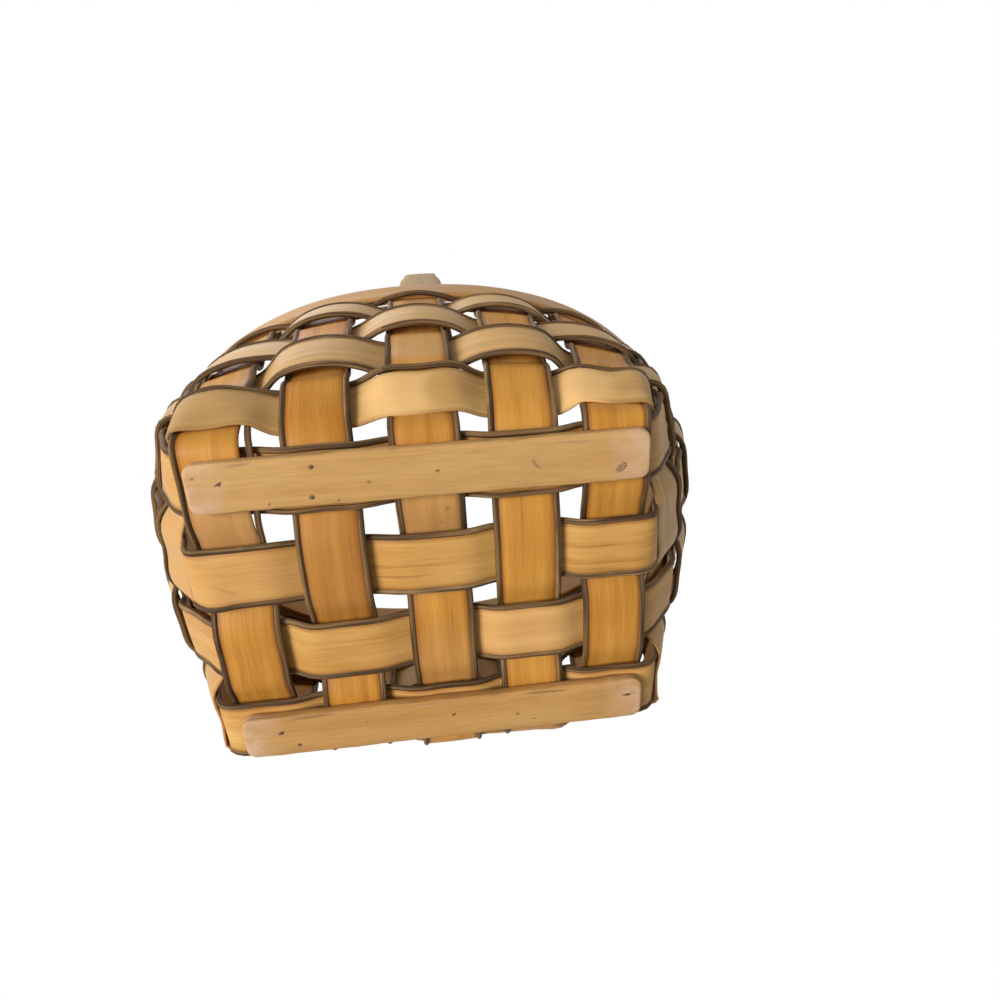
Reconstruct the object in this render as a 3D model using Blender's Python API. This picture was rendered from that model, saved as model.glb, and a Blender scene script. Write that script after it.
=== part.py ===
# Round-mouthed splint basket with a bentwood handle and two wooden runners.
# Metres, +Z up, X along the runners. The origin is under the middle of the
# basket, on the plane that the runners stand on.

import math

import bpy
import numpy as np

# Woven stuff
splint_width = 0.0254
splint_thickness = 0.0013
reed_diameter = 0.0034
reed_square_share = 0.886
clearance = 0.0003

# Base grid
long_count = 5
cross_count = 4
long_pitch = 0.0430
cross_pitch = 0.0424
base_shift_x = -0.0021
base_shift_y = 0.0030
long_drift_shares = (0.0, 0.014, 0.072, 0.056, 0.0)
cross_drift_shares = (0.0, 0.057, 0.028, 0.0)
turn_length = 0.0060

# Wall
weaver_count = 5
weaver_pitch = 0.0334
first_weaver_height = 0.0178
rim_height = 0.1650
mouth_half_length = 0.1578
mouth_half_width = 0.1140
mouth_power = 2.20
mouth_samples = 3600
side_bulge_power = 2.8
end_bulge_power = 2.05
turning_power = 1.6
wall_stake_sway_share = 0.18
flat_run_share = 0.45
slope_step_share = 0.001
turn_steps = 3
tangent_step_share = 0.01

# Rim bands
band_height = 0.0252
band_thickness = 0.0026
band_step_count = 54
chord_shares = (0.0, 0.25, 0.5, 0.75)

# Handle
handle_thickness = 0.0050
handle_foot_width = 0.0300
handle_grip_width = 0.0235
handle_rise = 0.2100
handle_straight = 0.1200
handle_spread = 0.0100
handle_taper_length = 0.0350
handle_shift = 0.0040
handle_foot_height = 0.0460
handle_arch_steps = 16
handle_leg_shares = (0.20, 0.45, 0.70, 0.80, 0.90)

# Runners
runner_length = 0.1950
runner_width = 0.0226
runner_thickness = 0.0058
runner_corner = 0.0030
runner_edge = 0.0006
runner_corner_steps = 3
runner_shift = 0.0015
front_runner_offset = -0.0018
back_runner_offset = 0.0004

# Nails
brad_radius = 0.0009
brad_length = 0.0042
brad_sink = 0.0002
tack_head_radius = 0.0022
tack_head_height = 0.0007
tack_shank_radius = 0.0008
tack_tip_space = 0.0002
nail_sides = 12
front_brad_shares = ((-0.429, -0.09), (-0.235, -0.28), (-0.242, 0.31), (0.434, 0.24))
back_brad_shares = ((-0.408, -0.10), (-0.370, 0.26), (0.463, -0.115))
rim_tack_shares = (0.222, 0.278, 0.722, 0.778)

# Worked out from the sizes above
reed_radius = reed_diameter / 2
reed_half = reed_diameter * reed_square_share / 2
reed_offset = splint_width / 2 + clearance + reed_radius
half_splint = splint_width / 2
half_sheet = splint_thickness / 2
cross_gap = reed_diameter + clearance
base_sway = cross_gap / 2
wall_stake_sway = cross_gap * wall_stake_sway_share
wall_weaver_sway = cross_gap - wall_stake_sway
top_weaver_sway = reed_half + half_sheet + clearance - wall_stake_sway
base_run = reed_offset + reed_half
wall_run = reed_offset + (weaver_pitch / 2 - reed_offset) * flat_run_share
weave_half = base_sway + reed_radius
base_plane = runner_thickness + clearance + weave_half
ring_count = 2 * (long_count + cross_count)
foot_half_length = long_pitch * (long_count - 1) / 2 + reed_offset + turn_length
foot_half_width = cross_pitch * (cross_count - 1) / 2 + reed_offset + turn_length
foot_run = half_splint

honey = (0.56, 0.285, 0.085)
light_tan = (0.62, 0.40, 0.185)
weaver_tan = (0.53, 0.345, 0.17)
reed_brown = (0.155, 0.105, 0.062)
rim_tan = (0.54, 0.32, 0.14)
runner_tan = (0.60, 0.39, 0.19)
handle_tan = (0.50, 0.35, 0.19)
nail_grey = (0.20, 0.17, 0.14)


def clear_scene():
    for obj in list(bpy.data.objects):
        bpy.data.objects.remove(obj, do_unlink=True)


def make_material(name, colour, roughness, metallic=0.0):
    material = bpy.data.materials.new(name)
    material.use_nodes = True
    shader = material.node_tree.nodes["Principled BSDF"]
    shader.inputs["Base Color"].default_value = (*colour, 1.0)
    shader.inputs["Roughness"].default_value = roughness
    shader.inputs["Metallic"].default_value = metallic
    return material


def make_object(name, vertices, faces, colour, roughness, metallic=0.0):
    mesh = bpy.data.meshes.new(name)
    mesh.from_pydata([tuple(v) for v in vertices], [], faces)
    mesh.update()
    mesh.materials.append(make_material(name, colour, roughness, metallic))
    obj = bpy.data.objects.new(name, mesh)
    bpy.context.scene.collection.objects.link(obj)
    return obj


def unit(vector):
    return vector / np.linalg.norm(vector)


# Layout of the base grid

def drifted(count, pitch, shares, shift):
    middle = (count - 1) / 2
    return [(index - middle + shares[index]) * pitch + shift for index in range(count)]


long_places = drifted(long_count, long_pitch, long_drift_shares, base_shift_x)
cross_places = drifted(cross_count, cross_pitch, cross_drift_shares, base_shift_y)


def foot_layout():
    """Foot point and turning angle of every stake, round from the front's middle."""
    middle = long_count // 2
    front = [(x, base_shift_y - foot_half_width, 0.0) for x in long_places]
    right = [(base_shift_x + foot_half_length, y, math.pi / 2) for y in cross_places]
    back = [(x, base_shift_y + foot_half_width, math.pi) for x in reversed(long_places)]
    left = [(base_shift_x - foot_half_length, y, 3 * math.pi / 2) for y in reversed(cross_places)]
    wrapped = [(x, y, turn + 2 * math.pi) for x, y, turn in front[:middle]]
    return front[middle:] + right + back + left + wrapped


def mouth_layout(half_length, half_width):
    """Evenly spaced points on the mouth's outline, with the turning angle there."""
    turn = np.linspace(0.0, 2 * math.pi, mouth_samples + 1) - math.pi / 2
    cosine = np.cos(turn)
    sine = np.sin(turn)
    reach = (np.abs(cosine / half_length) ** mouth_power
             + np.abs(sine / half_width) ** mouth_power) ** (-1 / mouth_power)
    x = reach * cosine
    y = reach * sine
    step = np.hypot(np.diff(x), np.diff(y))
    travelled = np.concatenate([[0.0], np.cumsum(step)])
    return x, y, travelled


def mouth_points(count, half_length, half_width):
    x, y, travelled = mouth_layout(half_length, half_width)
    rows = []
    for index in range(count):
        place = travelled[-1] * index / count
        px = np.interp(place, travelled, x)
        py = np.interp(place, travelled, y)
        slope_x = np.sign(px) * np.abs(px / half_length) ** (mouth_power - 1) / half_length
        slope_y = np.sign(py) * np.abs(py / half_width) ** (mouth_power - 1) / half_width
        turn = math.atan2(slope_y, slope_x) + math.pi / 2
        while turn < 2 * math.pi * index / count - math.pi:
            turn += 2 * math.pi
        rows.append((px, py, turn))
    return rows


feet = foot_layout()
mouths = mouth_points(ring_count, mouth_half_length, mouth_half_width)


# Wall frames: a point, the way round, the way up and the way out

def flare(height, power):
    """How far the wall has come from its foot, 0, to the mouth, 1."""
    left = max(0.0, 1.0 - height / rim_height)
    return 1.0 - left ** power


def wall_point(stake, height):
    foot = feet[stake]
    mouth = mouths[stake]
    x = foot[0] + (mouth[0] - foot[0]) * flare(height, end_bulge_power)
    y = foot[1] + (mouth[1] - foot[1]) * flare(height, side_bulge_power)
    return np.array([x, y, base_plane + height])


def wall_frame(stake, height):
    share = 1.0 - max(0.0, 1.0 - height / rim_height) ** turning_power
    turn = feet[stake][2] + (mouths[stake][2] - feet[stake][2]) * share
    point = wall_point(stake, height)
    step = rim_height * slope_step_share
    rise = unit(wall_point(stake, height + step) - wall_point(stake, height - step))
    round_way = np.array([math.cos(turn), math.sin(turn), 0.0])
    round_way = unit(round_way - rise * np.dot(round_way, rise))
    outward = np.cross(round_way, rise)
    return point, round_way, rise, outward


def weaver_height(weaver):
    return first_weaver_height + (weaver - 1) * weaver_pitch


def weaver_outside(weaver, stake):
    return (stake + weaver + 1) % 2 == 0


def row_outside(row, place):
    return (row + place + 1) % 2 == 0


def base_point(place, row, side):
    x = long_places[place]
    y = cross_places[row]
    return np.array([x, y, base_plane - side * base_sway])


# Strips that follow a line of stations

def strip_corners(centre, across, up, half_width, half_height):
    signs = ((-1, -1), (1, -1), (1, 1), (-1, 1))
    return [centre + across * half_width * a + up * half_height * b for a, b in signs]


def strip_faces(count, closed):
    """Faces over count stations of four corners each.

    Both wide faces are split along the same diagonal, so a twisted strip keeps its thickness.
    """
    faces = []
    for index in range(count if closed else count - 1):
        start = 4 * index
        other = 4 * ((index + 1) % count)
        for corner in range(4):
            after = (corner + 1) % 4
            if corner < 2:
                faces.append((start + corner, start + after, other + after))
                faces.append((start + corner, other + after, other + corner))
            else:
                faces.append((start + corner, start + after, other + corner))
                faces.append((start + after, other + after, other + corner))
    if not closed:
        last = 4 * (count - 1)
        faces.append((3, 2, 1, 0))
        faces.append((last, last + 1, last + 2, last + 3))
    return faces


def facing_out(vertices, faces):
    volume = 0.0
    points = [np.asarray(v) for v in vertices]
    for face in faces:
        for index in range(1, len(face) - 1):
            a = points[face[0]]
            b = points[face[index]]
            c = points[face[index + 1]]
            volume += np.dot(a, np.cross(b, c))
    if volume < 0:
        return [tuple(reversed(face)) for face in faces]
    return faces


def make_strip(name, stations, half_width, half_height, closed, colour, roughness):
    """Strip through stations of a centre, a way across its width and a way out."""
    vertices = []
    for centre, across, up in stations:
        vertices += strip_corners(centre, across, up, half_width, half_height)
    faces = facing_out(vertices, strip_faces(len(stations), closed))
    return make_object(name, vertices, faces, colour, roughness)


def shifted(stations, side):
    """The same line of stations, moved along its width way by one reed offset."""
    return [(centre + across * reed_offset * side, across, up) for centre, across, up in stations]


def eased(start, start_way, end, end_way, share):
    """A point between two ends that leaves and arrives along the given ways."""
    span = np.linalg.norm(end - start)
    square = share * share
    cube = square * share
    a = 2 * cube - 3 * square + 1
    b = cube - 2 * square + share
    c = 3 * square - 2 * cube
    d = cube - square
    return a * start + b * span * start_way + c * end + d * span * end_way


# Stakes: splints that cross the base and climb two walls

def wall_station(stake, height, side):
    point, round_way, rise, outward = wall_frame(stake, height)
    return point + outward * wall_stake_sway * side, round_way, outward, rise


def wall_stations(stake, upward):
    rows = []
    for weaver in range(1, weaver_count + 1):
        side = -1 if weaver_outside(weaver, stake) else 1
        height = weaver_height(weaver)
        top = half_splint if weaver == weaver_count else wall_run
        low = foot_run if weaver == 1 else wall_run
        rows.append(wall_station(stake, height - low, side))
        rows.append(wall_station(stake, height + top, side))
    if not upward:
        rows.reverse()
    return rows


def base_stations(centres, along, across):
    rows = []
    down = np.array([0.0, 0.0, -1.0])
    for centre in centres:
        rows.append((centre - along * base_run, across, down, along))
        rows.append((centre + along * base_run, across, down, along))
    return rows


def turn_stations(low, high, along, going_up):
    """Rounded corner between the base and the wall."""
    start, across, _, _ = low
    end, round_way, _, rise = high
    rows = []
    for index in range(1, turn_steps + 1):
        share = index / (turn_steps + 1)
        centre = eased(start, along, end, rise, share)
        ahead = eased(start, along, end, rise, share + tangent_step_share)
        behind = eased(start, along, end, rise, share - tangent_step_share)
        way = unit(ahead - behind)
        flip = 1 if np.dot(across, round_way) > 0 else -1
        side_way = across * flip * (1 - share) + round_way * share
        side_way = unit(side_way - way * np.dot(side_way, way))
        out = np.cross(side_way, way)
        rows.append((centre, side_way, out, way))
    if not going_up:
        rows.reverse()
    return rows


def stake_line(first_stake, last_stake, centres, along):
    """Stations from one rim to the other, under the base."""
    across = np.array([-along[1], along[0], 0.0])
    first = wall_stations(first_stake, False)
    base = base_stations(centres, along, across)
    last = wall_stations(last_stake, True)
    first_turn = turn_stations(base[0], first[-1], -along, False)
    last_turn = turn_stations(base[-1], last[0], along, True)
    line = []
    for centre, side_way, out, _ in first + first_turn + base + last_turn + last:
        if line and np.dot(side_way, line[-1][1]) < 0:
            side_way = -side_way
        line.append((centre, side_way, out))
    return line


def long_line(place):
    middle = long_count // 2
    front = (place - middle) % ring_count
    back = middle + cross_count + long_count - place
    centres = []
    for row in range(cross_count):
        side = -1 if row_outside(row, place) else 1
        centres.append(base_point(place, row, side))
    return stake_line(front, back, centres, np.array([0.0, 1.0, 0.0]))


def cross_line(row):
    right = long_count // 2 + 1 + row
    left = ring_count - long_count // 2 - 1 - row
    centres = []
    for place in range(long_count):
        side = 1 if row_outside(row, place) else -1
        centres.append(base_point(place, row, side))
    return stake_line(left, right, centres, np.array([1.0, 0.0, 0.0]))


def build_stake(name, line, colour):
    make_strip(name, line, half_splint, half_sheet, False, colour, 0.55)
    for side, word in ((-1, "a"), (1, "b")):
        make_strip(name + "_reed_" + word, shifted(line, side), reed_half, reed_half, False,
                   reed_brown, 0.6)


# Weavers: splints that go round the wall

def weaver_points(weaver, lift, sway):
    """Line round the wall, lift above the weaver's middle, with its ways up and out."""
    rows = []
    for stake in range(ring_count):
        point, round_way, rise, outward = wall_frame(stake, weaver_height(weaver) + lift)
        side = 1 if weaver_outside(weaver, stake) else -1
        centre = point + outward * sway * side
        rows.append((centre - round_way * base_run, rise, outward))
        rows.append((centre + round_way * base_run, rise, outward))
    return rows


def weaver_line(weaver):
    """Middle line of the splint; the top one has no upper reed and lies closer."""
    rows = []
    sway = top_weaver_sway if weaver == weaver_count else wall_weaver_sway
    low = weaver_points(weaver, -half_splint, sway)
    high = weaver_points(weaver, half_splint, sway)
    for (below, _, out_below), (above, _, out_above) in zip(low, high):
        rows.append(((below + above) / 2, unit(above - below), unit(out_below + out_above)))
    return rows


def build_weaver(weaver):
    name = "weaver_%d" % weaver
    make_strip(name, weaver_line(weaver), half_splint, half_sheet, True, weaver_tan, 0.5)
    if weaver > 1:
        low = weaver_points(weaver, -reed_offset, wall_weaver_sway)
        make_strip(name + "_reed_low", low, reed_half, reed_half, True, reed_brown, 0.6)
    if weaver < weaver_count:
        high = weaver_points(weaver, reed_offset, wall_weaver_sway)
        make_strip(name + "_reed_high", high, reed_half, reed_half, True, reed_brown, 0.6)


# Rim bands: smooth hoops inside and outside the top weaver

top_weaver_height = weaver_height(weaver_count)
band_middle = base_plane + top_weaver_height + clearance


def outline_sizes():
    end_share = flare(top_weaver_height, end_bulge_power)
    side_share = flare(top_weaver_height, side_bulge_power)
    half_length = mouth_half_length * end_share + foot_half_length * (1 - end_share)
    half_width = mouth_half_width * side_share + foot_half_width * (1 - side_share)
    return half_length, half_width


def reach_past_outline(side):
    """How far the top weaver's outer (1) or inner (-1) face stands off the wall's outline."""
    half_length, half_width = outline_sizes()
    x, y, _ = mouth_layout(half_length, half_width)
    farthest = 0.0
    for lift in (-half_splint, half_splint):
        rows = weaver_points(weaver_count, lift, top_weaver_sway)
        face = [centre + out * half_sheet * side for centre, _, out in rows]
        for index, start in enumerate(face):
            end = face[(index + 1) % len(face)]
            for share in chord_shares:
                px, py, _ = start + (end - start) * share
                nearest = np.min(np.hypot(x - px, y - py))
                beyond = abs(px / half_length) ** mouth_power + abs(py / half_width) ** mouth_power
                farthest = max(farthest, nearest * side * (1 if beyond > 1 else -1))
    return farthest


def band_chord_sag():
    half_length, half_width = outline_sizes()
    chord = mouth_layout(half_length, half_width)[2][-1] / band_step_count
    tightest = half_width * half_width / half_length
    return chord * chord / (8 * tightest)


outer_band_offset = reach_past_outline(1) + clearance + band_chord_sag() + band_thickness / 2
inner_band_offset = reach_past_outline(-1) + clearance + band_thickness / 2


def band_outline(offset, count):
    """Outline of the wall at the top weaver, moved out or in, with its ways."""
    half_length, half_width = outline_sizes()
    rows = []
    for x, y, turn in mouth_points(count, half_length, half_width):
        out = np.array([math.sin(turn), -math.cos(turn), 0.0])
        rows.append((np.array([x, y, band_middle]) + out * offset, out))
    return rows


def band_line(offset):
    up = np.array([0.0, 0.0, 1.0])
    return [(point, up, out) for point, out in band_outline(offset, band_step_count)]


# Nails and their holes

def cylinder(start, way, length, radius):
    """Closed round bar from start along way."""
    helper = np.array([0.0, 0.0, 1.0]) if abs(way[2]) < 0.9 else np.array([1.0, 0.0, 0.0])
    side = unit(np.cross(way, helper))
    other = np.cross(way, side)
    vertices = []
    for level in (0.0, 1.0):
        for index in range(nail_sides):
            turn = 2 * math.pi * index / nail_sides
            ring = side * math.cos(turn) + other * math.sin(turn)
            vertices.append(start + way * length * level + ring * radius)
    return ring_solid(vertices, 2)


def ring_solid(vertices, level_count):
    faces = [tuple(range(nail_sides))]
    for level in range(level_count - 1):
        low = level * nail_sides
        for index in range(nail_sides):
            after = (index + 1) % nail_sides
            faces.append((low + index, low + nail_sides + index, low + nail_sides + after, low + after))
    last = (level_count - 1) * nail_sides
    faces.append(tuple(reversed(range(last, last + nail_sides))))
    return vertices, facing_out(vertices, faces)


def build_brad(name, face_point, way, length):
    """Headless brad: way points into the wood."""
    start = face_point + way * brad_sink
    vertices, faces = cylinder(start, way, length, brad_radius)
    make_object(name, vertices, faces, nail_grey, 0.45, 0.8)


def build_tack(name, face_point, way, shank_length):
    """Flat-headed tack: its head lies on the face, its shank goes in along way."""
    helper = np.array([0.0, 0.0, 1.0])
    side = unit(np.cross(way, helper))
    other = np.cross(way, side)
    under = face_point - way * clearance
    top = under - way * tack_head_height
    tip = face_point + way * shank_length
    vertices = []
    for centre, radius in ((top, tack_head_radius), (under, tack_head_radius),
                           (under, tack_shank_radius), (tip, tack_shank_radius)):
        for index in range(nail_sides):
            turn = 2 * math.pi * index / nail_sides
            vertices.append(centre + (side * math.cos(turn) + other * math.sin(turn)) * radius)
    vertices, faces = ring_solid(vertices, 4)
    make_object(name, vertices, faces, nail_grey, 0.45, 0.8)


def drill(body, face_point, way, depth, radius):
    """Cuts a round hole into body from face_point along way."""
    overrun = clearance
    start = face_point - way * overrun
    vertices, faces = cylinder(start, way, depth + overrun, radius + clearance)
    cutter = make_object("hole", vertices, faces, nail_grey, 0.45)
    cut = body.modifiers.new("hole", "BOOLEAN")
    cut.operation = "DIFFERENCE"
    cut.solver = "EXACT"
    cut.object = cutter
    graph = bpy.context.evaluated_depsgraph_get()
    mesh = bpy.data.meshes.new_from_object(body.evaluated_get(graph))
    body.modifiers.clear()
    body.data = mesh
    bpy.data.objects.remove(cutter, do_unlink=True)


def build_bands():
    outer = make_strip("rim_outer_band", band_line(outer_band_offset), band_height / 2,
                       band_thickness / 2, True, rim_tan, 0.5)
    make_strip("rim_inner_band", band_line(-inner_band_offset), band_height / 2,
               band_thickness / 2, True, rim_tan, 0.5)
    spots = band_outline(outer_band_offset + band_thickness / 2, band_step_count)
    for index, share in enumerate(rim_tack_shares):
        point, out = spots[round(band_step_count * share)]
        drill(outer, point, -out, band_thickness + clearance, tack_shank_radius)
        build_tack("rim_tack_%d" % (index + 1), point, -out, band_thickness - tack_tip_space)


# Handle: a flat bent hoop nailed inside the front and back of the rim

def inner_band_reach(x):
    """How far the inner band's inside lies from the middle, at x along its front and back."""
    rows = band_outline(-inner_band_offset - band_thickness / 2, band_step_count)
    back = sorted((point[0], point[1]) for point, _ in rows if point[1] > 0)
    return np.interp(x, [row[0] for row in back], [row[1] for row in back])


handle_edge = handle_foot_width / 2 + abs(handle_shift)
handle_reach = inner_band_reach(handle_edge) - clearance - handle_thickness / 2
rim_top = base_plane + rim_height


def handle_width(height):
    above = (height - rim_top - handle_straight + handle_taper_length) / handle_taper_length
    above = min(1.0, max(0.0, above))
    ease = above * above * (3 - 2 * above)
    return handle_foot_width + (handle_grip_width - handle_foot_width) * ease


def handle_half():
    """Centre line of the front half: down the wall, up and outward, then over."""
    low = base_plane + handle_foot_height
    drawn_in = 1 - flare(handle_foot_height, side_bulge_power)
    low_reach = handle_reach - (mouth_half_width - foot_half_width) * drawn_in
    band_low = band_middle - band_height / 2
    band_high = band_middle + band_height / 2
    bend = rim_top + handle_straight
    span = handle_reach + handle_spread
    rows = [(-low_reach, low), (-handle_reach, band_low), (-handle_reach, band_high)]
    for share in handle_leg_shares:
        ease = share * (1 + (1 - share) / 2)
        rows.append((-handle_reach - handle_spread * ease, band_high + (bend - band_high) * share))
    rise = handle_rise - handle_straight
    for index in range(handle_arch_steps // 2 + 1):
        turn = math.pi * index / handle_arch_steps
        rows.append((-span * math.cos(turn), bend + rise * math.sin(turn)))
    return rows


def build_handle():
    half = handle_half()
    mirrored = [(-y, z) for y, z in reversed(half[:-1])]
    line = half + mirrored
    across = np.array([1.0, 0.0, 0.0])
    vertices = []
    for index, (y, z) in enumerate(line):
        before = line[max(0, index - 1)]
        after = line[min(len(line) - 1, index + 1)]
        way = unit(np.array([0.0, after[0] - before[0], after[1] - before[1]]))
        out = np.cross(across, way)
        centre = np.array([handle_shift, y, z])
        vertices += strip_corners(centre, across, out, handle_width(z) / 2, handle_thickness / 2)
    faces = facing_out(vertices, strip_faces(len(line), False))
    handle = make_object("handle", vertices, faces, handle_tan, 0.5)
    inner = handle_reach - handle_thickness / 2
    for side, word in ((-1, "front"), (1, "back")):
        for place in (-1, 1):
            way = np.array([0.0, side, 0.0])
            point = np.array([handle_shift, side * inner, band_middle + place * band_height / 4])
            drill(handle, point, way, handle_thickness + clearance, tack_shank_radius)
            name = "handle_tack_%s_%s" % (word, "low" if place < 0 else "high")
            build_tack(name, point, way, handle_thickness - tack_tip_space)


# Runners: two flat wooden skids under the first and last cross rows

def runner_outline(inset):
    rows = []
    corner = runner_corner
    for quarter, (sign_x, sign_y) in enumerate(((1, 1), (-1, 1), (-1, -1), (1, -1))):
        centre_x = sign_x * (runner_length / 2 - corner)
        centre_y = sign_y * (runner_width / 2 - corner)
        for index in range(runner_corner_steps + 1):
            turn = math.pi / 2 * (quarter + index / runner_corner_steps)
            reach = corner - inset
            rows.append((centre_x + reach * math.cos(turn), centre_y + reach * math.sin(turn)))
    return rows


def build_runner(name, middle_y, brad_shares):
    levels = ((runner_edge, 0.0), (0.0, runner_edge), (0.0, runner_thickness - runner_edge),
              (runner_edge, runner_thickness))
    vertices = []
    middle_x = base_shift_x + runner_shift
    for inset, height in levels:
        for x, y in runner_outline(inset):
            vertices.append(np.array([middle_x + x, middle_y + y, height]))
    count = len(runner_outline(0.0))
    faces = [tuple(range(count))]
    for level in range(len(levels) - 1):
        low = level * count
        for index in range(count):
            after = (index + 1) % count
            faces.append((low + index, low + count + index, low + count + after, low + after))
    last = (len(levels) - 1) * count
    faces.append(tuple(reversed(range(last, last + count))))
    runner = make_object(name, vertices, facing_out(vertices, faces), runner_tan, 0.6)
    up = np.array([0.0, 0.0, 1.0])
    for index, (share_x, share_y) in enumerate(brad_shares):
        point = np.array([middle_x + share_x * runner_length, middle_y + share_y * runner_width, 0.0])
        drill(runner, point, up, brad_sink + brad_length + clearance, brad_radius)
        build_brad("%s_brad_%d" % (name, index + 1), point, up, brad_length)


def build_all():
    clear_scene()
    for place in range(long_count):
        build_stake("long_stake_%d" % (place + 1), long_line(place), honey)
    for row in range(cross_count):
        build_stake("cross_stake_%d" % (row + 1), cross_line(row), light_tan)
    for weaver in range(1, weaver_count + 1):
        build_weaver(weaver)
    build_bands()
    build_handle()
    build_runner("runner_front", cross_places[0] + front_runner_offset, front_brad_shares)
    build_runner("runner_back", cross_places[-1] + back_runner_offset, back_brad_shares)


build_all()
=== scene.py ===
# Splint basket with round reeds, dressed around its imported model.
# Metres, +Z up, X along the runners. The front is -Y, the side at the top of the photograph.

import math

import bpy
import numpy as np
from mathutils import Matrix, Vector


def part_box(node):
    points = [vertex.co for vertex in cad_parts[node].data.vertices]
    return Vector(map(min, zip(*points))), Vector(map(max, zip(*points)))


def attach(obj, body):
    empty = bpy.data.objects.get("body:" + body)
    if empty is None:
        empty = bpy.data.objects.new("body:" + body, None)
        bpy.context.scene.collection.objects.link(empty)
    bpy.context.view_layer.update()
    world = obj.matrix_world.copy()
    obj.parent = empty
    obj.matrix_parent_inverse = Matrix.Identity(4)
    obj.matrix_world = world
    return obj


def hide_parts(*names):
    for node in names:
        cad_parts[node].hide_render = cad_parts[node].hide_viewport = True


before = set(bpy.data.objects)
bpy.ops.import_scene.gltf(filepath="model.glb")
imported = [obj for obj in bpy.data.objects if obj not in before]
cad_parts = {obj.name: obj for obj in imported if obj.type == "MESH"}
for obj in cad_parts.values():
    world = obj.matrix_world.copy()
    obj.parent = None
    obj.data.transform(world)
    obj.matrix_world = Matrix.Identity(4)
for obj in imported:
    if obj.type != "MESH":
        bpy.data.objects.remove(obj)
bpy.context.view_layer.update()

# Woven stuff, as in the model
splint_width = 0.0254
splint_thickness = 0.0013
reed_diameter = 0.0034
reed_square_share = 0.886
clearance = 0.0003

# Base grid, as in the model
long_count = 5
cross_count = 4
long_pitch = 0.0430
cross_pitch = 0.0424
base_shift_x = -0.0021
base_shift_y = 0.0030
long_drift_shares = (0.0, 0.014, 0.072, 0.056, 0.0)
cross_drift_shares = (0.0, 0.057, 0.028, 0.0)
turn_length = 0.0060

# Wall, as in the model
weaver_count = 5
weaver_pitch = 0.0334
first_weaver_height = 0.0178
rim_height = 0.1650
mouth_half_length = 0.1578
mouth_half_width = 0.1140
mouth_power = 2.20
side_bulge_power = 2.8
end_bulge_power = 2.05
turning_power = 1.6
wall_stake_sway_share = 0.18
flat_run_share = 0.45
turn_steps = 3

# How finely outlines and slopes are worked out
mouth_samples = 3600
height_step = 0.000165
turn_step_share = 0.01

# Rim bands, handle and runners, as in the model
band_height = 0.0252
band_thickness = 0.0026
band_step_count = 54
handle_thickness = 0.0050
handle_foot_width = 0.0300
handle_grip_width = 0.0235
handle_rise = 0.2100
handle_straight = 0.1200
handle_spread = 0.0100
handle_taper_length = 0.0350
handle_shift = 0.0040
handle_foot_height = 0.0460
handle_arch_steps = 16
handle_leg_shares = (0.20, 0.45, 0.70, 0.80, 0.90)
runner_length = 0.1950
runner_width = 0.0226
runner_thickness = 0.0058

# What the weave does beyond the model's straight runs
weaver_bulge_out = 0.0026
weaver_bulge_in = 0.0012
end_wall_bulge_share = 0.4
top_weaver_share = 0.4
top_run_share = 0.4
reed_snug = 0.0008
reed_thin_share = 0.88
reed_tip_length = 0.0240
reed_tip_share = 0.5
row_bulge = 0.0007
stake_bulge = 0.0003
splint_crown = 0.0003
splint_edge = 0.0004
path_step = 0.0035
reed_sides = 12
reed_swell_share = 0.04
sideways_wander = 0.00022
outward_wander = 0.00008
wave_counts = (2, 5, 9, 14)
wave_range_shares = (0.8, 1.2)
outward_seed_step = 500
grain_step = 0.37
quarter_steps = 2
flat_shares = (0.6, 0.2, -0.2, -0.6)

# The reed of the first lengthwise splint that strays from its edge
stray_amount = 0.0031
stray_reach = 0.0400
stray_centre = 0.0080

# The first weaver lies flat, its bare low edge close to the stakes, but for one bulge that stands out
low_edge_share = 0.5
low_edge_tuck = 0.0016
proud_stake = 16
proud_bulge_share = 1.85

# Feet that stand in or out, counted round from the front's middle, and how soon a stake turns up
foot_push = 0.0020
foot_push_shares = {0: -1.7, 1: -1.6, 2: -1.2, 3: -1.3, 4: -2.3, 5: -1.9, 6: 0.7, 7: -0.4, 8: 0.65,
                    9: 3.0, 10: -2.6, 11: -0.3, 13: -2.4, 14: -2.4, 15: -1.2, 16: -0.1, 17: -1.5}
foot_slide_shares = {12: 0.5, 13: 2.3, 14: 1.5}
crossing_slide_share = 0.45
tight_run_share = 0.65
foot_run_share = 0.45

# Rim bands: scarfed laps at the back, and the outer one's low edge is drawn in
lap_length = 0.050
lap_thin_share = 0.06
outer_lap_share = 0.46
inner_lap_share = 0.60
rim_lean = math.radians(6.9)
band_edge = 0.0009
band_crown = 0.0002

# Handle
handle_edge_round = 0.0014
handle_crown = 0.0004
handle_end_round = 0.0050

# Runners
runner_edge_round = 0.0011
runner_plan_corner = 0.0048
runner_lift = 0.0002
runner_wander = 0.00022
runner_station = 0.0030
runner_corner_steps = 6
runner_end_share = 0.6
worn_end_length = 0.0200

# Nails
brad_head_radius = 0.00075
tack_head_radius = 0.0022
tack_head_height = 0.0007
head_sides = 14
head_uneven_share = 0.09
head_rough_share = 0.03
head_turn_range = 6
steep_share = 0.9
brad_profile_shares = ((1.0, -3.0), (1.0, -0.4), (0.75, -0.1), (0.3, 0.0))
tack_profile_shares = ((0.4, -1.0), (0.96, -0.2), (1.0, 0.25), (0.86, 0.75), (0.45, 1.0), (0.1, 1.05))
bent_tip_radius = 0.00045
bent_tip_reach = 0.0014
bent_tip_start = math.radians(100.0)
bent_tip_turn = math.radians(-215.0)
bent_tip_points = 14
bent_tip_sides = 10
bent_tip_lift_share = 0.2
bent_tip_sink_share = 0.9
bent_tip_thin_share = 0.75
bent_tip_node = "runner_front_brad_4"

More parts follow.
